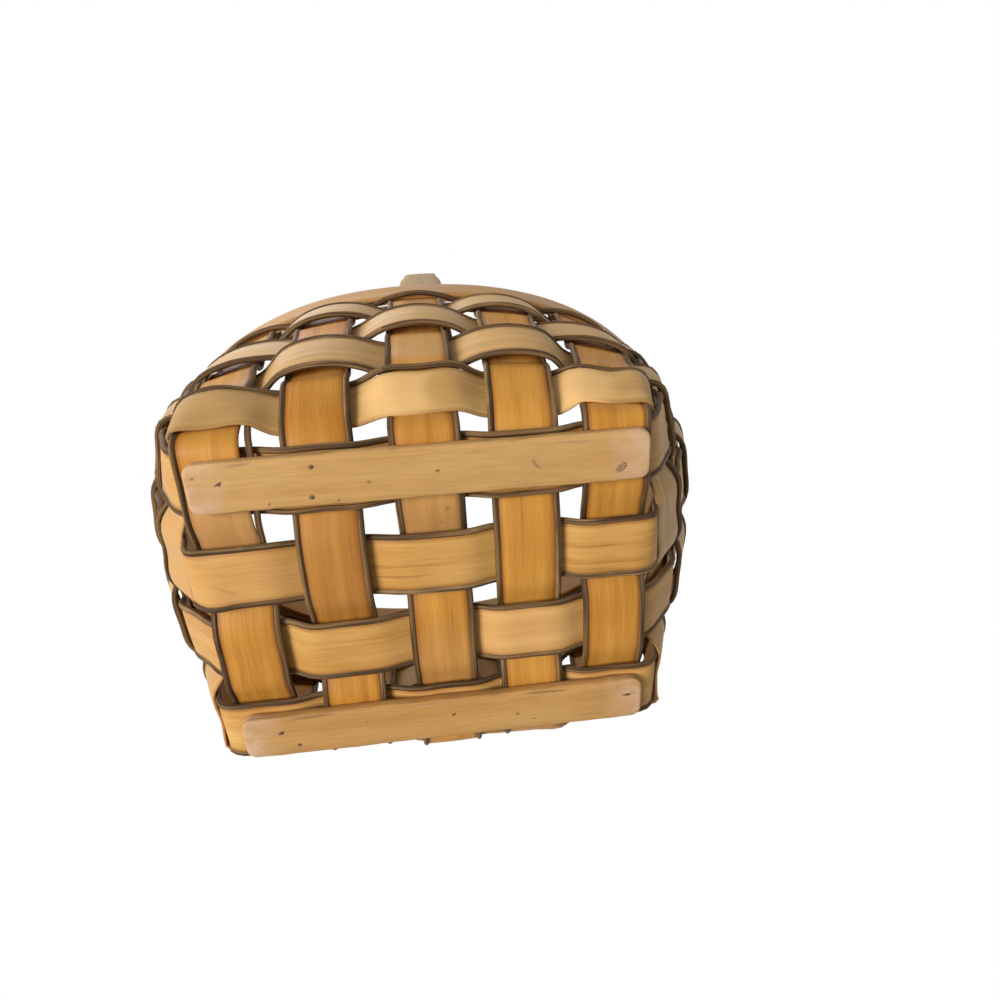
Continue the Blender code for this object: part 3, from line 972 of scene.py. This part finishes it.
# Marks on the runners: place as shares, length, width, turn in degrees, colour and strength
front_board_rows = (
    ((-0.429, -0.090), 0.0034, 0.0011, -25.0, dent_brown, 0.95),
    ((-0.234, -0.280), 0.0026, 0.0022, 0.0, nail_stain, 0.60),
    ((-0.242, 0.310), 0.0026, 0.0022, 0.0, nail_stain, 0.65),
    ((0.434, 0.240), 0.0046, 0.0034, -40.0, nail_stain, 0.55),
    ((-0.118, 0.103), 0.0018, 0.0014, 0.0, dent_brown, 0.60),
    ((0.030, -0.010), 0.0022, 0.0013, 0.0, dent_brown, 0.75),
    ((0.243, 0.010), 0.0042, 0.0012, 55.0, scuff_grey, 0.85),
    ((0.251, 0.080), 0.0030, 0.0010, 30.0, scuff_grey, 0.60),
    ((-0.479, -0.226), 0.0016, 0.0012, 0.0, dent_brown, 0.60),
    ((-0.333, 0.380), 0.0016, 0.0011, -60.0, dent_brown, 0.60),
    ((-0.187, 0.420), 0.0026, 0.0009, -70.0, dent_brown, 0.45),
    ((-0.383, -0.420), 0.0110, 0.0012, -4.0, scuff_grey, 0.55),
    ((0.116, -0.330), 0.0040, 0.0008, -3.0, scuff_grey, 0.45),
    ((0.331, -0.360), 0.0150, 0.0010, 2.0, scuff_grey, 0.40),
)
back_board_rows = (
    ((-0.408, -0.100), 0.0034, 0.0015, -25.0, dent_brown, 0.90),
    ((-0.370, 0.260), 0.0020, 0.0015, 0.0, nail_stain, 0.60),
    ((0.463, -0.115), 0.0048, 0.0010, -3.0, nail_stain, 0.95),
    ((0.018, -0.090), 0.0024, 0.0014, -30.0, nail_stain, 0.85),
    ((0.179, 0.080), 0.0020, 0.0014, 0.0, dent_brown, 0.65),
    ((-0.197, -0.150), 0.0014, 0.0011, 0.0, dent_brown, 0.50),
    ((0.219, 0.250), 0.0022, 0.0009, 0.0, dent_brown, 0.60),
    ((0.253, -0.430), 0.0200, 0.0013, 1.0, dent_brown, 0.60),
    ((-0.324, -0.440), 0.0200, 0.0015, -2.0, dent_brown, 0.55),
    ((-0.060, -0.440), 0.0260, 0.0009, 0.0, scuff_grey, 0.50),
)

# Marks on the splints: centre, half axes, turn, colour and strength
zone_length = 0.0300
zone_width = 0.0160


def base_zone(place, row, tint, strength, crosswise=False):
    """Stretch of a splint in the base that is paler or duller than the rest."""
    centre = (long_places[place], float(np.interp(row, range(cross_count), cross_places)), base_plane)
    reach = (zone_length, zone_width) if crosswise else (zone_width, zone_length)
    return centre, reach, 0.0, tint, strength


honey_spots = (
    base_zone(0, 0.5, honey_dull, 0.42),
    base_zone(2, 0.5, honey_dull, 0.36),
    base_zone(2, 2.5, honey_dull, 0.20),
    base_zone(1, 1.0, honey_dark, 0.40),
    (tuple(wall_point(0, weaver_height(2))), (zone_width, zone_width), 0.0, honey_worn, 0.40),
    ((0.0080, -0.0424, base_plane), (0.0016, 0.0022), 0.0, rust_spot, 0.90),
    ((0.0052, -0.0345, base_plane), (0.0007, 0.0010), 0.0, rust_spot, 0.30),
    ((0.0859, 0.0137, base_plane), (0.0006, 0.0008), 0.0, rust_spot, 0.70),
)
tan_spots = (
    # Painted highlights: pale sheen stretches on two crosswise splints
    base_zone(0, 1.0, tan_highlight, 0.22, True),
    base_zone(3, 2.0, tan_highlight, 0.34, True),
    ((-0.0978, -0.0182, base_plane), (0.0030, 0.0022), 0.3, tan_streak, 0.35),
    ((-0.0978, -0.0182, base_plane), (0.0016, 0.0010), 0.3, tan_light, 0.90),
    ((-0.0930, -0.0120, base_plane), (0.0060, 0.0012), 0.5, tan_streak, 0.30),
)


def weaver_zone(stake, along, reach, tint, strength):
    """Stretch of the first weaver near a stake that is paler or duller than the rest."""
    point, round_way, _, outward = wall_frame(stake, first_weaver_height)
    centre = point + outward * wall_weaver_sway + round_way * along
    return tuple(centre), (reach, reach), 0.0, tint, strength


weaver_spots = (
    # Painted highlights on the left halves of the first weaver's bulges over stakes 0 and 2
    weaver_zone(0, -0.0110, 0.0150, weaver_highlight, 0.58),
    weaver_zone(2, -0.0165, 0.0170, weaver_highlight, 0.75),
    # Painted shade on the right half of the bulge over stake 2; then a darker stretch over stake 16, and
    # painted shade on the right half of the bulge over stake 0
    weaver_zone(2, 0.0110, 0.0110, weaver_shade_and_dull, 0.34),
    weaver_zone(16, 0.0000, 0.0260, weaver_shade_and_dull, 0.62),
    weaver_zone(0, 0.0120, 0.0110, weaver_shade_and_dull, 0.55),
    weaver_zone(14, 0.0000, 0.0280, weaver_orange, 0.70),
    weaver_zone(12, 0.0000, 0.0280, weaver_orange, 0.60),
)

honey_splint = splint_material("honey_splint", honey_tones, splint_roughness, 0.10, 0.85, honey_spots)
tan_splint = splint_material("tan_splint", tan_tones, splint_roughness, 0.22, 0.78, tan_spots)
weaver_splint = splint_material("weaver_splint", weaver_tones, weaver_roughness, 0.22, 0.72,
                                weaver_spots)
dyed_reed = reed_material("dyed_reed", *reed_tones)
rim_wood = splint_material("rim_wood", rim_tones, splint_roughness, 0.15, 0.40)
handle_wood = splint_material("handle_wood", handle_tones, splint_roughness, 0.15, 0.35)
front_board = board_material("front_board", front_board_tones, board_pale,
                             runner_spots("runner_front", front_board_rows))
back_board = board_material("back_board", back_board_tones, board_pale,
                            runner_spots("runner_back", back_board_rows))
rusty_nail = nail_material("rusty_nail", *rusty_tones, 0.6)
dull_nail = nail_material("dull_nail", *dull_tones, 0.85)
bright_nail = nail_material("bright_nail", *bright_tones, 0.8)


# Dressed stakes and weavers

def strand_section():
    return splint_section(half_splint, half_sheet, splint_edge, splint_crown)


def stray_offset(path):
    """How far the loose reed stands off its splint, most near the base's first crossing."""
    centres, _, _, at = path
    start = np.array([long_places[0], cross_places[0], base_plane])
    nearest = at[np.argmin(np.linalg.norm(centres - start, axis=1))] - stray_centre
    return stray_amount * smooth(1 - np.abs(at - nearest) / stray_reach)


def dress_stake(node, rows, material, seed, loose_side=0):
    path = strand_path(rows, False, seed)
    centres, sides, outs, at = path
    sweep(node, path, strand_section()[None], False, seed, material)
    for side, word in ((-1, "a"), (1, "b")):
        offset = reed_line + (stray_offset(path) if side == loose_side else np.zeros_like(at))
        line = (centres + sides * side * offset[:, None], sides, outs, at)
        sweep("%s_reed_%s" % (node, word), line, reed_sections(at, seed + swell_seed_step + side, False),
              False, seed + reed_seed_step + side, dyed_reed)


def dress_ring(node, rows, section, material, seed):
    path = strand_path(rows, True, seed)
    if section is None:
        section = reed_sections(path[3], seed, True)
    sweep(node, path, section, True, seed, material)


def dress_weave():
    for place in range(long_count):
        dress_stake("long_stake_%d" % (place + 1), long_rows(place), honey_splint,
                    place + 1, 1 if place == 0 else 0)
    for row in range(cross_count):
        dress_stake("cross_stake_%d" % (row + 1), cross_rows(row), tan_splint,
                    cross_seed + row)
    for weaver in range(1, weaver_count + 1):
        node = "weaver_%d" % weaver
        seed = ring_seed + weaver
        dress_ring(node, weaver_middle_rows(weaver), strand_section()[None],
                   weaver_splint, seed)
        if weaver > 1:
            dress_ring(node + "_reed_low", weaver_rows(weaver, -reed_line, wall_weaver_sway),
                       None, dyed_reed, seed)
        if weaver < weaver_count:
            dress_ring(node + "_reed_high", weaver_rows(weaver, reed_line, wall_weaver_sway),
                       None, dyed_reed, seed)


dress_weave()


# Rim bands

band_middle = base_plane + weaver_height(weaver_count) + clearance


def outline_sizes():
    """Half length and half width of the wall's outline at the top weaver."""
    height = weaver_height(weaver_count)
    end_share = flare(height, end_bulge_power)
    side_share = flare(height, side_bulge_power)
    half_length = mouth_half_length * end_share + foot_half_length * (1 - end_share)
    half_width = mouth_half_width * side_share + foot_half_width * (1 - side_share)
    return half_length, half_width


def band_rows(offset, lean, lap_share):
    """Once round the rim and past the start by one lap; the lean draws the low edge in."""
    half_length, half_width = outline_sizes()
    points = mouth_points(band_step_count, half_length, half_width)
    round_length = 2 * sum(math.dist(points[i][:2], points[i + 1][:2])
                           for i in range(band_step_count // 2))
    lap_steps = round(lap_length / round_length * band_step_count)
    first = round(band_step_count * lap_share)
    rows = []
    for index in range(first, first + band_step_count + lap_steps + 1):
        x, y, turn = points[index % band_step_count]
        out = np.array([math.sin(turn), -math.cos(turn), 0.0])
        rise = math.cos(lean) * world_up + math.sin(lean) * out
        face = math.cos(lean) * out - math.sin(lean) * world_up
        high = np.array([x, y, band_middle + band_height / 2]) + out * offset
        rows.append((high - rise * band_height / 2, rise, face))
    return rows


def lapped_sections(at):
    """The band's section, thinned at its inner and its outer end so that they lap."""
    after_start = np.clip(at / lap_length, lap_thin_share, 1.0)
    before_end = np.clip((at[-1] - at) / lap_length, lap_thin_share, 1.0)
    thin = np.minimum(after_start, before_end)
    push = np.where(after_start < before_end, -1.0, 1.0) * (1 - thin) * band_thickness / 2
    sections = strip_sections(at, band_height / 2, band_thickness / 2, band_edge, band_crown)
    sections[..., 1] = sections[..., 1] * thin[:, None] + push[:, None]
    return sections


def dress_band(node, lean, lap_share, seed):
    half_length, _ = outline_sizes()
    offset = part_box(node)[1][0] - band_thickness / 2 - half_length
    path = strand_path(band_rows(offset, lean, lap_share), False, seed)
    sweep(node, path, lapped_sections(path[3]), False, seed, rim_wood)
    return path


# Handle

def handle_width(height):
    above = height - base_plane - rim_height - handle_straight + handle_taper_length
    ease = smooth(above / handle_taper_length)
    return handle_foot_width + (handle_grip_width - handle_foot_width) * ease


def handle_half():
    """Centre line of the front half, as in the model."""
    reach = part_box("handle")[1][1] - handle_thickness / 2 - handle_spread
    drawn_in = 1 - flare(handle_foot_height, side_bulge_power)
    low_reach = reach - (mouth_half_width - foot_half_width) * drawn_in
    band_low = band_middle - band_height / 2
    band_high = band_middle + band_height / 2
    bend = base_plane + rim_height + handle_straight
    rows = [(-low_reach, base_plane + handle_foot_height), (-reach, band_low), (-reach, band_high)]
    for share in handle_leg_shares:
        ease = share * (1 + (1 - share) / 2)
        rows.append((-reach - handle_spread * ease, band_high + (bend - band_high) * share))
    for index in range(handle_arch_steps // 2 + 1):
        turn = math.pi * index / handle_arch_steps
        rows.append((-(reach + handle_spread) * math.cos(turn),
                     bend + (handle_rise - handle_straight) * math.sin(turn)))
    return rows


def handle_rows():
    half = handle_half()
    line = half + [(-y, z) for y, z in reversed(half[:-1])]
    rows = []
    for index, (y, z) in enumerate(line):
        before = line[max(0, index - 1)]
        after = line[min(len(line) - 1, index + 1)]
        way = unit(np.array([0.0, after[0] - before[0], after[1] - before[1]]))
        rows.append((np.array([handle_shift, y, z]), world_x, np.cross(world_x, way)))
    return rows


def rounded_end(at, corner):
    """How far a strip draws in towards its two ends, for round corners."""
    from_end = np.minimum(at, at[-1] - at)
    into = np.clip(corner - from_end, 0.0, corner)
    return corner - np.sqrt(np.maximum(corner * corner - into * into, 0.0))


def dress_handle(seed):
    path = strand_path(handle_rows(), False, seed)
    at = path[3]
    half = handle_width(path[0][:, 2]) / 2 - rounded_end(at, handle_end_round)
    sections = strip_sections(at, handle_foot_width / 2, handle_thickness / 2, handle_edge_round,
                              handle_crown)
    sections[..., 0] *= (half / (handle_foot_width / 2))[:, None]
    sweep("handle", path, sections, False, seed, handle_wood)
    return path


# Runners: boards with worn round edges

def runner_path(node):
    """Straight path along the board, with more stations near its rounded ends."""
    turns = np.linspace(0.0, math.pi / 2, runner_corner_steps + 1)
    near = runner_plan_corner * (1 - np.cos(turns))
    middle_count = round((runner_length - 2 * runner_plan_corner) / runner_station)
    middle = np.linspace(runner_plan_corner, runner_length - runner_plan_corner, middle_count + 1)
    at = np.concatenate([near, middle[1:-1], (runner_length - near)[::-1]])
    count = len(at)
    centres = np.zeros((count, 3))
    centres[:, 0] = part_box(node)[0][0] + at
    centres[:, 1] = box_middle(node)[1]
    centres[:, 2] = (runner_thickness + runner_lift) / 2
    return centres, np.tile(world_y, (count, 1)), np.tile(world_down, (count, 1)), at


def runner_sections(at, seed):
    half_width = runner_width / 2
    half_thickness = (runner_thickness - runner_lift) / 2
    sections = strip_sections(at, half_width, half_thickness, runner_edge_round, 0.0)
    drawn_in = rounded_end(at, runner_plan_corner)
    end_round = rounded_end(at, runner_edge_round) * runner_end_share
    sections[..., 0] *= ((half_width - drawn_in) / half_width)[:, None]
    sections[..., 1] *= ((half_thickness - end_round) / half_thickness)[:, None]
    for index in range(sections.shape[1]):
        wear = waves(at, at[-1], runner_wander, seed + index // (quarter_steps + 1), False)
        sections[:, index, 0] += wear * np.sign(sections[0, index, 0])
    return sections


def dress_runner(node, material, seed):
    path = runner_path(node)
    at = path[3]
    board = sweep(node, path, runner_sections(at, seed), False, seed, material)
    # On the runners this is wear only: the ends rubbed pale
    wear_and_highlight = np.clip(1 - np.minimum(at, at[-1] - at) / worn_end_length, 0.0, 1.0)
    add_value(board, "wear_and_highlight", np.repeat(wear_and_highlight, len(board.data.vertices) // len(at)))


# Nails

def nail_head(node, centre, way, radius, height, profile_shares, seed, material):
    """Round head, a little out of true; the shares are of its radius and of its height along way."""
    chance = np.random.default_rng(seed)
    side = unit(np.cross(way, world_up if abs(way[2]) < steep_share else world_x))
    other = np.cross(way, side)
    turn = 2 * math.pi * np.arange(head_sides) / head_sides
    uneven = 1 + head_uneven_share * np.sin(2 * turn + chance.uniform(0, head_turn_range))
    uneven += chance.uniform(-head_rough_share, head_rough_share, head_sides)
    spokes = uneven[:, None] * (np.cos(turn)[:, None] * side + np.sin(turn)[:, None] * other)
    vertices = np.concatenate([centre + way * height * level + radius * share * spokes
                               for share, level in profile_shares])
    last = (len(profile_shares) - 1) * head_sides
    faces = [tuple(range(head_sides))[::-1]]
    for low in range(0, last, head_sides):
        for index in range(head_sides):
            after = (index + 1) % head_sides
            faces.append((low + index, low + after, low + head_sides + after, low + head_sides + index))
    faces.append(tuple(range(last, last + head_sides)))
    grain = np.concatenate([vertices[list(face)][:, :2] for face in faces])
    dress(mesh_object("dressed_" + node, vertices, faces, grain), node, material)


def dress_brad(node, seed):
    """Sunk brad: a low dome in the runner's face."""
    centre = np.array([*box_middle(node)[:2], 0.0])
    nail_head(node, centre, world_down, brad_head_radius, runner_lift, brad_profile_shares, seed,
              rusty_nail)


def dress_tack(node, path, side, seed):
    """Flat round tack head on a band's or the handle's face; side 1 is outside."""
    middle = np.array(box_middle(node))
    centres, _, outs, _ = path
    near = np.argmin(np.linalg.norm(centres - middle, axis=1))
    way = outs[near] * side
    thickness = handle_thickness if node.startswith("handle") else band_thickness
    reach = np.dot(centres[near] - middle, way) + thickness / 2
    nail_head(node, middle + way * reach, way, tack_head_radius, tack_head_height,
              tack_profile_shares, seed, dull_nail)


def dress_bent_tip(node, seed):
    """Nail tip bent over and pressed into the runner's face."""
    x, y, _ = box_middle(node)
    share = np.linspace(0.0, 1.0, bent_tip_points)
    turn = share * bent_tip_turn + bent_tip_start
    centres = np.stack([x + bent_tip_reach * (np.cos(turn) - math.cos(bent_tip_start)),
                        y + bent_tip_reach * (np.sin(turn) - math.sin(bent_tip_start)),
                        runner_lift + bent_tip_radius
                        * (bent_tip_lift_share - bent_tip_sink_share * np.sin(share * math.pi))], axis=1)
    at = travelled(centres)
    ahead = unit(np.gradient(centres, at, axis=0))
    outs = across_to(world_down, ahead)
    thin = (1 - bent_tip_thin_share * share ** 3)[:, None, None]
    sections = round_section(bent_tip_radius, bent_tip_sides)[None] * thin
    sweep(node, (centres, np.cross(outs, ahead), outs, at), sections, False, seed, bright_nail)


def dress_rim_and_handle():
    outer = dress_band("rim_outer_band", rim_lean, outer_lap_share, outer_band_seed)
    dress_band("rim_inner_band", 0.0, inner_lap_share, inner_band_seed)
    hoop = dress_handle(handle_seed)
    for node in sorted(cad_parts):
        if node.startswith("rim_tack"):
            dress_tack(node, outer, 1, rim_tack_seed + int(node[-1]))
        elif node.startswith("handle_tack"):
            dress_tack(node, hoop, -1, handle_tack_seed + len(node))


def dress_runners():
    dress_runner("runner_front", front_board, front_runner_seed)
    dress_runner("runner_back", back_board, back_runner_seed)
    for node in sorted(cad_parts):
        if node == bent_tip_node:
            dress_bent_tip(node, bent_tip_seed)
        elif "brad" in node:
            dress_brad(node, brad_seed + int(node[-1]))


dress_rim_and_handle()
dress_runners()


# Floor, world, lights and camera

def seen_directly(tree):
    """One for rays from the camera, and for what metal and glass show."""
    path = add_node(tree, "LightPath")
    seen = calculated(tree, "MAXIMUM", path.outputs["Is Camera Ray"], path.outputs["Is Glossy Ray"])
    return calculated(tree, "MAXIMUM", seen, path.outputs["Is Transmission Ray"])


def make_floor():
    size = floor_half_size
    mesh = bpy.data.meshes.new("floor")
    mesh.from_pydata([(-size, -size, 0), (size, -size, 0), (size, size, 0), (-size, size, 0)], [],
                     [(0, 1, 2, 3)])
    floor = linked("floor", mesh)
    floor.location.z = -floor_drop
    material, tree, shader = new_material("floor")
    shader.inputs["Base Color"].default_value = floor_grey
    shader.inputs["Emission Color"].default_value = floor_grey
    shader.inputs["Roughness"].default_value = floor_roughness
    clear = add_node(tree, "BsdfTransparent")
    behind = add_node(tree, "NewGeometry").outputs["Backfacing"]
    both = add_node(tree, "MixShader", {0: behind, 1: shader.outputs[0],
                                                  2: clear.outputs[0]})
    glow = spread(tree, seen_directly(tree), 0.0, 1.0, 0.0, floor_glow)
    tree.links.new(glow, shader.inputs["Emission Strength"])
    tree.links.new(both.outputs[0], tree.nodes["Material Output"].inputs["Surface"])
    mesh.materials.append(material)
    floor.visible_diffuse = floor.visible_glossy = floor.visible_shadow = False


def make_world():
    world = bpy.data.worlds.new("studio")
    bpy.context.scene.world = world
    world.use_nodes = True
    tree = world.node_tree
    background = tree.nodes["Background"]
    strength = spread(tree, seen_directly(tree), 0.0, 1.0, ambient, 1.0)
    tree.links.new(strength, background.inputs["Strength"])
    background.inputs["Color"].default_value = (1.0, 1.0, 1.0, 1.0)


def add_lamp(name, place, aim, size, power):
    lamp = bpy.data.lights.new(name, "AREA")
    lamp.size = size
    lamp.energy = power
    back = unit(np.array(place) - np.array(aim))
    side = unit(np.cross(world_up, back))
    linked(name, lamp).matrix_world = matrix_from(side, np.cross(back, side), back, np.array(place))


def matrix_from(side, up, back, place):
    rows = [[side[i], up[i], back[i], place[i]] for i in range(3)]
    return Matrix(rows + [[0.0, 0.0, 0.0, 1.0]])


def camera_frame():
    azimuth = math.radians(camera_azimuth)
    elevation = math.radians(camera_elevation)
    roll = math.radians(camera_roll)
    back = np.array([math.sin(azimuth) * math.cos(elevation),
                     -math.cos(azimuth) * math.cos(elevation), math.sin(elevation)])
    aim = np.array([camera_aim_x, camera_aim_y, base_plane])
    side = unit(np.cross(-back, world_up))
    up = np.cross(side, -back)
    turned_side = math.cos(roll) * side + math.sin(roll) * up
    turned_up = -math.sin(roll) * side + math.cos(roll) * up
    return turned_side, turned_up, back, aim


def make_camera():
    side, up, back, aim = camera_frame()
    data = bpy.data.cameras.new("camera")
    data.lens = focal_share * data.sensor_width
    data.clip_start = camera_near
    obj = linked("camera", data)
    obj.matrix_world = matrix_from(side, up, back, aim + back * camera_distance)
    bpy.context.scene.camera = obj


def make_lights():
    side, up, back, aim = camera_frame()
    key_way = unit(key_back_share * back + key_up_share * up + key_side_share * side)
    add_lamp("key", aim + key_way * key_distance, aim, key_size, key_power)
    add_lamp("top", top_lamp_place, (0.0, 0.0, rim_height), top_lamp_size, top_lamp_power)


make_floor()
make_world()
make_camera()
make_lights()
bpy.context.scene.view_settings.view_transform = "Standard"
